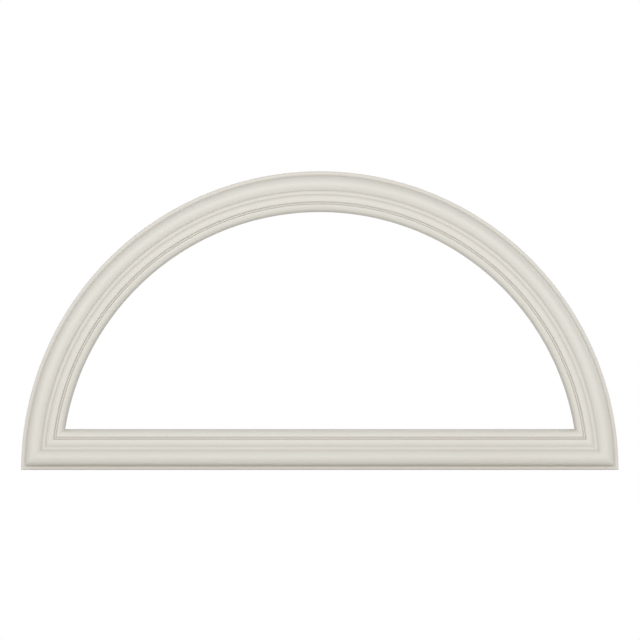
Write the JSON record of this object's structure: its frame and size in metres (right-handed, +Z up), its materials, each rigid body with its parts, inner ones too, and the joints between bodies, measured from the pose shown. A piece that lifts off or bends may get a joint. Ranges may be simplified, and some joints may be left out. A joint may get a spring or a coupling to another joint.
{
  "type": "half-round door light frame",
  "caption": "Half-round moulded frame whose mitred halves clamp a door leaf and its glass, screwed from the back under snap-in caps; no glass fitted.",
  "frame": {"origin": "on the plane of the door's front skin, at the arc's centre, which is the middle of the frame's bottom edge", "axes": "+Z up, +X to the right seen from the front, -Y out of the moulded front face"},
  "size_m": [0.6032, 0.072, 0.3016],
  "materials": {
    "moulding": "smooth satin, warm off-white",
    "tape": "closed-cell foam, light grey",
    "screw": "zinc plated"
  },
  "bodies": {
    "root": {"front_frame": "moulding", "back_frame": "moulding", "front_glazing_tape": "tape", "back_glazing_tape": "tape", "screw_01": "screw", "screw_02": "screw", "screw_03": "screw", "screw_04": "screw", "screw_05": "screw", "screw_06": "screw", "screw_07": "screw", "screw_08": "screw", "screw_cap_01": "moulding", "screw_cap_02": "moulding", "screw_cap_03": "moulding", "screw_cap_04": "moulding", "screw_cap_05": "moulding", "screw_cap_06": "moulding", "screw_cap_07": "moulding", "screw_cap_08": "moulding"}
  },
  "joints": []
}
